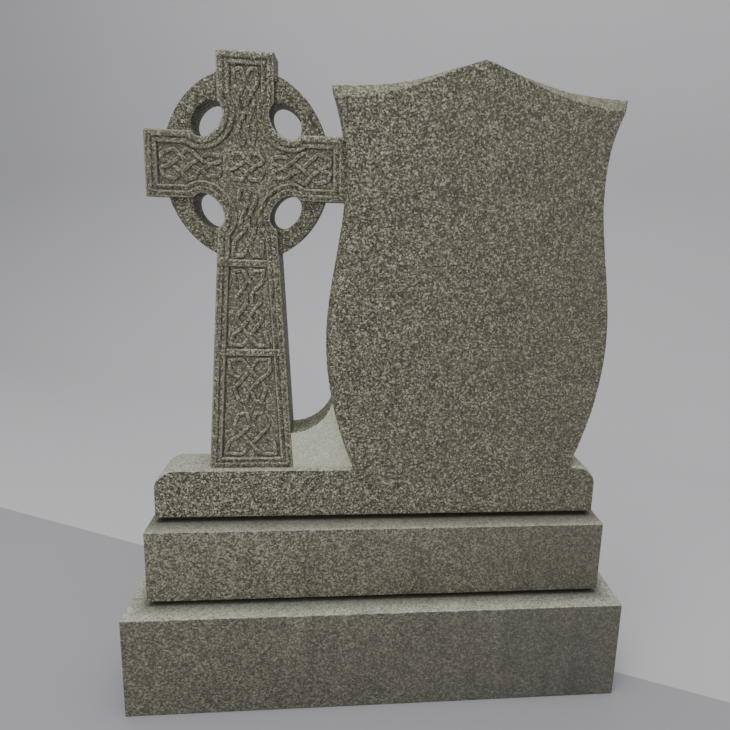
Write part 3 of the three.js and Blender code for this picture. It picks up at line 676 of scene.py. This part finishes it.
def straight_half(height):
    """Half width of the upright's straight sides at a height from the cross's centre."""
    return np.where(height > 0, HEAD_HALF, shaft_half_width(height + CROSS_HEIGHT))


def upright_half(height, inset):
    """Half width of the upright at a height from the cross's centre: straight sides, bitten by the holes'
    ovals, and the same width between the armpits."""
    past = np.maximum(np.abs(height), hole_corner(inset)[1]) - HOLE_UP
    bite = beside_hole(past, inset, of_arm=False)
    return np.where(past < 0, bite, np.minimum(straight_half(height) - inset, bite))


def arm_half(distance, inset):
    """Half height of an arm at a distance from the cross's centre, in the same way."""
    past = distance - HOLE_OUT
    bite = beside_hole(past, inset, of_arm=True)
    return np.where(past < 0, bite, np.minimum(ARM_HALF - inset, bite))


def cross_grid(inset):
    """Points of the cross's face as offsets from its centre: an upright of rows and columns that follows the
    outline, then the right arm and the left arm, whose rows run on from the middle rows of the upright."""
    corner_x, corner_z = hole_corner(inset)
    middle = np.linspace(-1, 1, CENTRE_CELLS + 1)
    rows = np.concatenate([
        np.linspace(-CROSS_HEIGHT - CROSS_SINK, -corner_z, SHAFT_CELLS, endpoint=False),
        middle * corner_z,
        np.linspace(corner_z, HEAD_REACH - inset, HEAD_CELLS + 1)[1:]])
    across = np.linspace(-1, 1, COLUMN_CELLS + 1)
    upright = np.stack(np.broadcast_arrays(upright_half(rows, inset)[:, None] * across, rows[:, None]), -1)
    arms = []
    for side, run_in in ((1, ARM_RUN_IN), (-1, -inset)):
        distance = np.linspace(corner_x, ARM_REACH + run_in, ARM_CELLS + 1)[1:]
        arms.append(np.stack(np.broadcast_arrays(
            side * distance, middle[:, None] * arm_half(distance, inset)), -1))
    return np.concatenate([part.reshape(-1, 2) for part in (upright, *arms)])


def cross_indices():
    """Index tables of the three blocks of the face, each arm with the upright's edge as its first column,
    and the loop of indices round the outline, anticlockwise seen from the front."""
    row_count = SHAFT_CELLS + CENTRE_CELLS + HEAD_CELLS + 1
    upright = np.arange(row_count * (COLUMN_CELLS + 1)).reshape(row_count, -1)
    low, high = SHAFT_CELLS, SHAFT_CELLS + CENTRE_CELLS
    size = (CENTRE_CELLS + 1) * ARM_CELLS
    right = upright.size + np.arange(size).reshape(-1, ARM_CELLS)
    right = np.column_stack([upright[low:high + 1, -1], right])
    left = upright.size + size + np.arange(size).reshape(-1, ARM_CELLS)
    left = np.column_stack([upright[low:high + 1, 0], left])
    loop = np.concatenate([
        upright[0], upright[1:low + 1, -1], right[0, 1:], right[1:, -1], right[-1, -2:0:-1],
        upright[high:, -1], upright[-1, -2::-1], upright[-2:high - 1:-1, 0], left[-1, 1:],
        left[-2::-1, -1], left[0, -2:0:-1], upright[low:0:-1, 0]])
    return upright, right, left, loop


def hole_distance(x, z):
    """How far the oval of the nearest hole must grow to reach a point, found by a few Newton steps."""
    out, up = np.abs(x) - HOLE_OUT, np.abs(z) - HOLE_UP
    across = np.abs(out * np.cos(HOLE_LEAN) + up * np.sin(HOLE_LEAN))
    along = np.abs(up * np.cos(HOLE_LEAN) - out * np.sin(HOLE_LEAN))
    grown = np.maximum(np.maximum(across - HOLE_SHORT, along - HOLE_LONG), -HOLE_SHORT / 2)
    for _ in range(NEWTON_STEPS):
        short, long = HOLE_SHORT + grown, HOLE_LONG + grown
        excess = (across / short) ** 2 + (along / long) ** 2 - 1
        grown = grown + excess / (2 * across ** 2 / short ** 3 + 2 * along ** 2 / long ** 3 + LEAST_SLOPE)
    return grown


def inset_distance(x, z):
    """Set-in from the outline at a point: the larger of the set-ins from the upright's and the arms' sides,
    but no more than the distance from the holes, which alone counts in the corner between the two."""
    beside = straight_half(z) - np.abs(x)
    upright = np.minimum(np.minimum(beside, HEAD_REACH - z), z + CROSS_HEIGHT)
    arms = np.minimum(ARM_HALF - np.abs(z), ARM_REACH - np.abs(x))
    in_corner = (np.abs(x) < HOLE_OUT) & (np.abs(z) < HOLE_UP) & (np.abs(x) + np.abs(z) > ARM_HALF)
    straight = np.where(in_corner, np.inf, np.maximum(upright, arms))
    return np.minimum(straight, hole_distance(x, z))


def ease_step(value, low, high):
    """Rises smoothly from 0 at low to 1 at high."""
    share = np.clip((value - low) / (high - low), 0, 1)
    return share ** 2 * (3 - 2 * share)


def weave_half(past, half, of_arm):
    """Half width left for a knot inside the sunk field, at a distance past a hole's centre, where the upright
    or the arm has a given half width."""
    return np.minimum(half - FIELD_INSET, beside_hole(past, FIELD_INSET, of_arm)) - STRAND_CLEARANCE


def arm_place(side):
    """Maps a knot's own frame, across -1 to 1 and along 0 to 1, onto an arm."""
    start = ARM_REACH - FIELD_INSET - STRAND_CLEARANCE
    end = BOSS_HALF_WIDTH + KNOT_CLEARANCE + STRAND_CLEARANCE

    def place(across, along):
        distance = start + (end - start) * along
        half = weave_half(distance - HOLE_OUT, ARM_HALF, of_arm=True)
        return np.stack([side * distance, across * half], -1)
    return place


def upright_place(start, end):
    """Maps a knot's own frame onto a stretch of the upright, between two heights from the centre."""
    def place(across, along):
        height = start + (end - start) * along
        half = weave_half(np.abs(height) - HOLE_UP, straight_half(height), of_arm=False)
        return np.stack([across * half, height], -1)
    return place


def boss_place(across, along):
    """Maps a knot's own frame onto the square in the middle of the cross."""
    return np.stack([across * (BOSS_HALF_WIDTH - STRAND_HALF_WIDTH),
                     (BOSS_HALF_HEIGHT - STRAND_HALF_WIDTH) * (1 - 2 * along)], -1)


def swell(widths, along):
    """Share of the field's width that a knot takes up along its length: the parabola through the three
    widths given for its start, its middle and its end."""
    start, middle, end = widths
    ends = start * (1 - along) * (1 - 2 * along) + end * along * (2 * along - 1)
    return ends + 4 * middle * along * (1 - along)


def all_knots():
    """Knots two cells wide, each with its rows of cells, its place, the share of the field's width that it
    takes up at its start, middle and end, and the rows where its middle strands turn back side by side."""
    reach = BAR_HALF_HEIGHT + STRAND_CLEARANCE
    boss = BOSS_HALF_HEIGHT + KNOT_CLEARANCE + STRAND_CLEARANCE
    top = HEAD_REACH - FIELD_INSET - STRAND_CLEARANCE
    bottom = FIELD_INSET + STRAND_CLEARANCE - CROSS_HEIGHT
    middle = (bottom - LOWER_BAR_DROP - reach) / 2
    return [
        (3, arm_place(-1), ARM_SWELL, ()),
        (3, arm_place(1), ARM_SWELL, ()),
        (2, boss_place, BOSS_SWELL, ()),
        (3, upright_place(top, boss), HEAD_SWELL, ()),
        (3, upright_place(-boss, reach - UPPER_BAR_DROP), HEAD_SWELL[::-1], ()),
        (4, upright_place(-UPPER_BAR_DROP - reach, reach - LOWER_BAR_DROP), SHAFT_SWELL, (3,)),
        (2, upright_place(-LOWER_BAR_DROP - reach, middle + FOOT_KNOT_GAP / 2), FOOT_SWELL, ()),
        (2, upright_place(middle - FOOT_KNOT_GAP / 2, bottom), FOOT_SWELL[::-1], ()),
    ]


def knot_site(rows, breaks, i, j, di, dj):
    """One site of the diagonal grid that a strand passes: strands cross there, or turn back at the knot's
    rim or at a break. Gives the point, the heading, the depth, the steps out, and whether it is a rim turn,
    a crossing and an under-crossing."""
    broken = i == KNOT_WIDTH // 2 and j in breaks
    turns_along = i in (0, KNOT_WIDTH) or broken
    turns_across = j in (0, 2 * rows)
    crossing = not turns_along and not turns_across
    under = crossing and (di * dj > 0) != (i % 2 == 0)
    depth = (UNDER_DEPTH if under else OVER_DEPTH) if crossing else (OVER_DEPTH + UNDER_DEPTH) / 2
    point = np.array([i - di * BREAK_OFFSET if broken else i, j], float)
    heading = np.array([0 if turns_along else di, 0 if turns_across else dj], float)
    return {"point": point, "heading": heading, "depth": depth,
            "leaves": (-di if turns_along else di, -dj if turns_across else dj),
            "rim": not broken and not crossing, "crossing": crossing, "under": under}


def knot_runs(rows, breaks):
    """Runs of a knot's strands, each from where it dips under another strand to where it next does."""
    done = set()
    for j in range(1, 2 * rows):
        for i in range(1 + j % 2, KNOT_WIDTH, 2):
            for di, dj in ((1, 1), (-1, 1), (1, -1), (-1, -1)):
                first = knot_site(rows, breaks, i, j, di, dj)
                if not first["under"] or (i, j, di, dj) in done:
                    continue
                sites, here = [first], (i, j)
                while len(sites) == 1 or not sites[-1]["under"]:
                    step = sites[-1]["leaves"]
                    here = here[0] + step[0], here[1] + step[1]
                    sites.append(knot_site(rows, breaks, *here, *step))
                done.add((*here, *(-step for step in sites[-1]["leaves"])))
                yield sites


def run_curve(sites):
    """Grid points and depths along a run: Bezier bends between sites, with a pointed corner between two rim
    turns, lapped a little at both ends."""
    points, depths = [], []
    for here, after in zip(sites, sites[1:]):
        share = np.linspace(0, 1, CURVE_POINTS, endpoint=False)
        if here["rim"] and after["rim"]:
            corner = here["point"] + here["heading"] * CORNER_REACH
            way = np.minimum(2 * share, 1)[:, None]
            back = np.maximum(2 * share - 1, 0)[:, None]
            points.append(here["point"] + (corner - here["point"]) * way + (after["point"] - corner) * back)
        else:
            points.append(bezier([here["point"], here["point"] + here["heading"] * STRAND_BEND,
                                  after["point"] - after["heading"] * STRAND_BEND, after["point"]], share))
        depths.append(here["depth"] + (after["depth"] - here["depth"]) * ease_step(share, 0, 1))
    points.append(sites[-1]["point"][None] + sites[-1]["heading"] * STRAND_LAP)
    depths.append([sites[-1]["depth"]])
    points[0][0] -= sites[0]["heading"] * STRAND_LAP
    return np.concatenate(points), np.concatenate(depths)


def strand_depth(x, z, path, depths, ground):
    """Depth of a run's strand at each point: the top of the run where it is nearest, falling off in a rounded
    crown and then steeply to the ground beside it."""
    start, way = path[:-1], np.diff(path, axis=0)
    offset = np.stack([x, z], -1)[:, None] - start
    share = np.clip((offset * way).sum(-1) / (way ** 2).sum(-1), 0, 1)
    gap = np.hypot(*np.moveaxis(offset - share[..., None] * way, -1, 0))
    nearest = gap.argmin(1)
    pick = np.arange(len(x)), nearest
    top = depths[nearest] + (depths[nearest + 1] - depths[nearest]) * share[pick]
    off = gap[pick] / STRAND_HALF_WIDTH
    crown = top + STRAND_CROWN * np.minimum(off, 1) ** 2
    return crown + (ground - top) * ease_step(off, STRAND_SHOULDER, STRAND_FOOT)


def rolled(inset):
    """Depth of the margin's roll at a set-in from the outline: a parabola that ends at the incised line."""
    return ROLL_DEPTH * np.clip(1 - inset / LINE_MIDDLE, 0, 1) ** 2


def carved_depth(x, z):
    """Depth of the carving at each point of the face: a margin that rolls down to the outline, a V cut for
    the line, a crowned band, the sunk field, the bars, and the strands of every knot above the field."""
    inset = inset_distance(x, z)
    cut = LINE_DEPTH * np.clip(1 - np.abs(inset - LINE_MIDDLE) / LINE_HALF_WIDTH, 0, 1)
    line = np.maximum(cut, rolled(inset))
    band = BAND_CROWN * np.clip((inset - BAND_MIDDLE) / BAND_HALF_WIDTH, -1, 1) ** 2 * (inset > LINE_MIDDLE)
    in_field = ease_step(inset, FIELD_INSET - FIELD_SLOPE, FIELD_INSET + FIELD_SLOPE)
    depth = np.maximum(line, band) * (1 - in_field) + FIELD_DEPTH * in_field
    ground = np.full(len(x), float(FIELD_DEPTH))
    for rows, place, widths, breaks in all_knots():
        for sites in knot_runs(rows, breaks):
            grid, depths = run_curve(sites)
            along = grid[:, 1] / (2 * rows)
            path = place((2 * grid[:, 0] / KNOT_WIDTH - 1) * swell(widths, along), along)
            margin = STRAND_MARGIN * STRAND_HALF_WIDTH
            low, high = path.min(0) - margin, path.max(0) + margin
            near = np.flatnonzero((x > low[0]) & (x < high[0]) & (z > low[1]) & (z < high[1]))
            relief = strand_depth(x[near], z[near], path, depths, FIELD_DEPTH)
            ground[near] = np.minimum(ground[near], relief)
    for drop in (UPPER_BAR_DROP, LOWER_BAR_DROP):
        beside = np.abs(z + drop)
        edge = ease_step(beside, BAR_HALF_HEIGHT - BAR_SLOPE, BAR_HALF_HEIGHT)
        bar = BAR_DEPTH + (FIELD_DEPTH - BAR_DEPTH) * edge
        ground = np.minimum(ground, bar)
    return np.where(inset > FIELD_INSET + FIELD_SLOPE, ground, np.minimum(depth, np.maximum(ground, band)))


def blurred(table):
    """Mean of each cell of a table and its neighbours up to BLUR_CELLS away, first one way and then the
    other."""
    for _ in range(2):
        padded = np.pad(table, ((BLUR_CELLS + 1, BLUR_CELLS), (0, 0)), mode="edge").cumsum(0)
        table = ((padded[2 * BLUR_CELLS + 1:] - padded[:-2 * BLUR_CELLS - 1]) / (2 * BLUR_CELLS + 1)).T
    return table


def cross_mesh():
    """Closed cross: the carved grid in front, eased walls that follow the outline, and one cap behind. Also
    gives, for each point, how much it stands out from its surroundings, which the material paints as
    highlight and shade, and whether it is sunk ground."""
    upright, right, left, loop = cross_indices()
    x, z = cross_grid(CROSS_ARRIS).T
    y = CROSS_FRONT + np.maximum(carved_depth(x, z), 0)
    ridge = np.zeros(len(x))
    for table in (left, right, upright):
        ridge[table] = (blurred(y[table]) - y[table]) / RIDGE_SCALE
    # The outline's rim gets a painted highlight.
    ridge[loop] = RIM_HIGHLIGHT
    ground = ease_step(y - CROSS_FRONT, FIELD_DEPTH - GROUND_FADE, FIELD_DEPTH)
    rim_front = CROSS_FRONT + rolled(CROSS_ARRIS)
    y[loop] = rim_front
    vertices = [np.column_stack([CROSS_X + x, y, CROSS_Z + z])]
    walls = [(inset, rim_front + back) for inset, back in eased(CROSS_ARRIS)[-2::-1]]
    walls += [(inset, CROSS_BACK - back) for inset, back in eased(CROSS_ARRIS)]
    vertices += [outline_ring(cross_grid(inset)[loop] + (CROSS_X, CROSS_Z), depth) for inset, depth in walls]
    faces = [
        np.stack([table[:-1, :-1], table[:-1, 1:], table[1:, 1:], table[1:, :-1]], -1).reshape(-1, 4)
        for table in (upright, right, left)
    ]
    faces[2] = faces[2][:, ::-1]
    behind = len(x) + np.arange(len(walls) * len(loop)).reshape(len(walls), -1)
    rim_index = np.concatenate([[loop], behind])
    ahead = np.roll(rim_index, -1, 1)
    faces.append(np.stack([rim_index[:-1], rim_index[1:], ahead[1:], ahead[:-1]], -1).reshape(-1, 4))
    all_faces = np.concatenate(faces).tolist() + [rim_index[-1][::-1].tolist()]
    # The front edge of the walls is painted pale as highlight; the walls are painted dark as shade, darkest
    # in the holes.
    wall_x, wall_z = cross_grid(0)[loop].T
    beyond_ring = ease_step(np.hypot(wall_x / RING_HALF_WIDTH, wall_z / RING_HALF_HEIGHT), HOLE_WALL_END, 1)
    wall_shade = HOLE_WALL_SHADE + (OPEN_WALL_SHADE - HOLE_WALL_SHADE) * beyond_ring
    rim_highlight, plain = np.full(len(loop), RIM_HIGHLIGHT), np.zeros(len(loop))
    edge_marks = [rim_highlight if depth < rim_front + CROSS_ARRIS / 2 else wall_shade for inset, depth in walls[:-1]]
    ridge = np.concatenate([ridge, *edge_marks, plain])
    ground = np.concatenate([ground, np.zeros(behind.size)])
    return np.concatenate(vertices), all_faces, ridge, ground


# Carving leaves fine, dull stone: edges that stand out are painted pale as highlight and wear, the cuts and
# hole walls are painted nearly black as shade, and the punched ground between the strands is greyer and more
# even. Painted shade darkens the left arm.
carved_granite = granite(
    "fine_carved_granite", CARVED_MINERALS, {"share": 0.18, "depth": 0.9, "colour": "1c1a14"},
    CARVED_GRAIN, roughness=0.68, pit=0.25, cloud={"width": 60, "depth": 0.1},
    side_tone_and_shade={"from": -330, "to": -510, "depth": 0.35, "colour": "4b4437"}, carved=True)
cross_vertices, cross_faces, cross_ridge, cross_ground = cross_mesh()
cross = stone_piece("carved_cross", cross_vertices, cross_faces, [carved_granite])
for layer_name, values in (("ridge", cross_ridge), ("ground", cross_ground)):
    cross.data.attributes.new(layer_name, "FLOAT", "POINT").data.foreach_set("value", values)
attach(cross, "root")

# Floor and backdrop.
# A plain grey studio floor, and a roll of pale paper laid slantwise from under the stone, that sweeps up
# behind it in one curve, so that no corner shows.
FLOOR_COLOUR, PAPER_COLOUR = "9c9b9f", "bcbcbe"
STAGE_HALF = 7000
PAPER_LEFT, PAPER_RIGHT = (-1106, 740), (748, -113)
SWEEP_START, SWEEP_RADIUS, PAPER_HEIGHT = 1500, 1500, 6500
SWEEP_STEPS = 32
MOTTLES_PER_METRE, MOTTLE_DEPTH = 1.2, 0.03


def plain_paint(name, colour):
    """Matt paint or paper with a faint unevenness: broad noise makes its tone a little darker or paler."""
    material, tree, place = blank_material(name)
    mottle = add_node(tree, "TexNoise", {"Vector": place, "Scale": MOTTLES_PER_METRE, "Detail": 2.0})
    level = add_node(tree, "MapRange", {
        "Value": mottle.outputs["Fac"], "To Min": 1 - MOTTLE_DEPTH, "To Max": 1 + MOTTLE_DEPTH})
    tone = add_node(tree, "VectorMath", {
        0: linear(colour)[:3], "Scale": level.outputs["Result"]}, operation="SCALE")
    shader = add_node(tree, "BsdfPrincipled", {"Base Color": tone.outputs[0], "Roughness": 0.9})
    add_node(tree, "OutputMaterial", {"Surface": shader.outputs["BSDF"]})
    return material


def stage_sheet(name, rows, material):
    """Sheet of the stage between rows of two points, from its left edge to its right edge."""
    faces = [(2 * row, 2 * row + 1, 2 * row + 3, 2 * row + 2) for row in range(len(rows) - 1)]
    mesh_piece(name, np.reshape(rows, (-1, 3)), faces, [material])


def stage_row(behind, height):
    """Two far ends of a line parallel to the paper's edge, at a distance behind it and a height."""
    left, right = np.array(PAPER_LEFT, float), np.array(PAPER_RIGHT, float)
    along = (right - left) / np.hypot(*(right - left))
    middle = (left + right) / 2 + behind * np.array([-along[1], along[0]])
    return [(*(middle + way * STAGE_HALF * along), height) for way in (-1, 1)]


floor_rows = [stage_row(-STAGE_HALF, 0), stage_row(0, 0)]
stage_sheet("floor", floor_rows, plain_paint("studio_floor_paint", FLOOR_COLOUR))
paper_rows = [stage_row(0, 0)]
for turn in np.linspace(0, np.pi / 2, SWEEP_STEPS + 1):
    behind = SWEEP_START + SWEEP_RADIUS * np.sin(turn)
    paper_rows.append(stage_row(behind, SWEEP_RADIUS * (1 - np.cos(turn))))
paper_rows.append(stage_row(SWEEP_START + SWEEP_RADIUS, PAPER_HEIGHT))
stage_sheet("backdrop", paper_rows, plain_paint("backdrop_paper", PAPER_COLOUR))

# Light.
# Soft light mostly from above, a little from the front left, over an even fill from all round.
FILL_COLOUR, FILL_STRENGTH = "f4f5f7", 0.505
SOFTBOXES = {
    "overhead": {"at": (-0.4, -1.1, 7.0), "aim": (0.0, 0.0, 0.9), "size": 4.9, "power": 378},
    "front_left": {"at": (-2.6, -3.2, 1.6), "aim": (0.0, 0.0, 0.6), "size": 2.4, "power": 46},
}
world = bpy.data.worlds.new("studio_fill")
world.use_nodes = True
world.node_tree.nodes["Background"].inputs["Color"].default_value = linear(FILL_COLOUR)
world.node_tree.nodes["Background"].inputs["Strength"].default_value = FILL_STRENGTH
bpy.context.scene.world = world


def aimed(position, target):
    """Rotation that turns -Z from the position to the target, with Y up."""
    return (Vector(target) - Vector(position)).to_track_quat("-Z", "Y").to_euler()


for light_name, light in SOFTBOXES.items():
    lamp_data = bpy.data.lights.new(light_name, "AREA")
    lamp_data.size = light["size"]
    lamp_data.energy = light["power"]
    lamp = bpy.data.objects.new(light_name, lamp_data)
    lamp.location = light["at"]
    lamp.rotation_euler = aimed(light["at"], light["aim"])
    bpy.context.scene.collection.objects.link(lamp)

# Camera.
# Stands in front and a little to the left, above the stone, and looks down by about eleven degrees. Its
# numbers come from a fit of the stones' corners to the photograph.
CAMERA_AT = (-0.0999, -1.3843, 1.2096)
PITCH, YAW, ROLL = 0.192, 0.098, 0.033
FOCAL_PIXELS, IMAGE_PIXELS = 581.2, 730
CENTRE_PIXEL = (399.7, 326.5)
SENSOR, FAR_CLIP = 36, 50
forward = np.array([np.sin(YAW) * np.cos(PITCH), np.cos(YAW) * np.cos(PITCH), -np.sin(PITCH)])
level_right = np.array([np.cos(YAW), -np.sin(YAW), 0])
level_up = np.cross(level_right, forward)
right_axis = np.cos(ROLL) * level_right + np.sin(ROLL) * level_up
up_axis = np.cos(ROLL) * level_up - np.sin(ROLL) * level_right
camera_data = bpy.data.cameras.new("photo_camera")
camera_data.sensor_fit = "HORIZONTAL"
camera_data.sensor_width = SENSOR
camera_data.lens = FOCAL_PIXELS / IMAGE_PIXELS * SENSOR
camera_data.shift_x = 0.5 - CENTRE_PIXEL[0] / IMAGE_PIXELS
camera_data.shift_y = CENTRE_PIXEL[1] / IMAGE_PIXELS - 0.5
camera_data.clip_end = FAR_CLIP
camera = bpy.data.objects.new("photo_camera", camera_data)
bpy.context.scene.collection.objects.link(camera)
pose = np.eye(4)
pose[:3, 0], pose[:3, 1], pose[:3, 2], pose[:3, 3] = right_axis, up_axis, -forward, CAMERA_AT
camera.matrix_world = Matrix(pose.tolist())
bpy.context.scene.camera = camera
